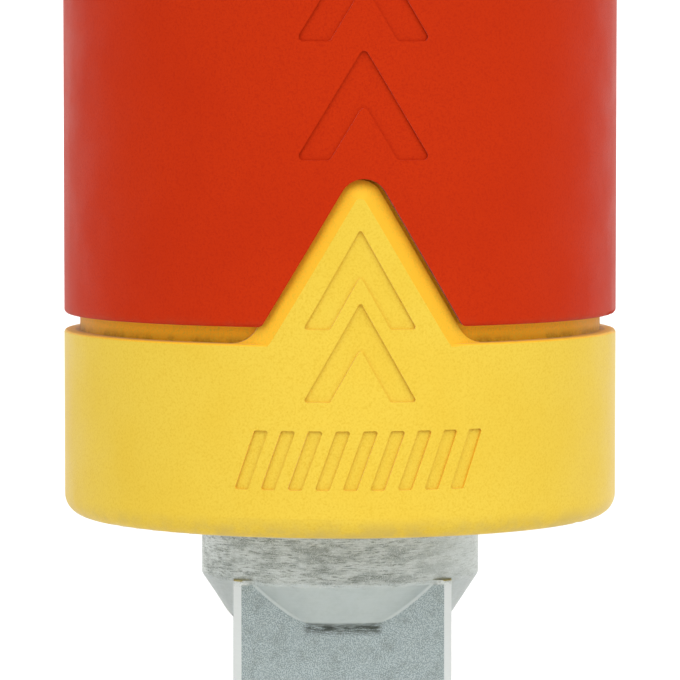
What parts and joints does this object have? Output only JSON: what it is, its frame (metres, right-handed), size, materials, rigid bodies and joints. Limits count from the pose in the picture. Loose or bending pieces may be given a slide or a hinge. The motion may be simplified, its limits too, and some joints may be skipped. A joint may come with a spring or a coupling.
{
  "type": "insulated square-drive screwdriver",
  "caption": "Insulated driver: steel square drive with a ball catch, a yellow core with arrow-shaped tongues, and a red outer handle with soft grip pads.",
  "frame": {"origin": "on the shank's axis, in the shoulder plane of the drive square, where a socket stops", "axes": "+Z along the shank towards the butt of the handle, -Y towards the ball in the drive square"},
  "size_m": [0.0364, 0.0356, 0.1561],
  "materials": {
    "drive_steel": "satin nickel plating with faint stains",
    "ball_steel": "polished",
    "spring_steel": "drawn wire",
    "core_plastic": "matt moulded",
    "shell_plastic": "matt moulded",
    "soft_grip": "soft and matt, fine ribs"
  },
  "bodies": {
    "handle": {"drive_shank": "drive_steel", "detent_spring": "spring_steel", "insulating_core": "core_plastic", "outer_shell": "shell_plastic", "finger_ring": "soft_grip", "end_cap": "core_plastic", "grip_pad_1": "soft_grip", "grip_pad_2": "soft_grip", "grip_pad_3": "soft_grip", "grip_pad_4": "soft_grip", "grip_pad_5": "soft_grip", "grip_pad_6": "soft_grip"},
    "ball": {"detent_ball": "ball_steel"}
  },
  "joints": [
    {"name": "ball_catch", "type": "slide", "parent": "handle", "child": "ball", "axis": [0, -1, 0], "range_m": [-0.001, 0], "stiffness_N_per_m": 1500, "springref_m": 0.001, "deforming": ["detent_spring"]}
  ]
}
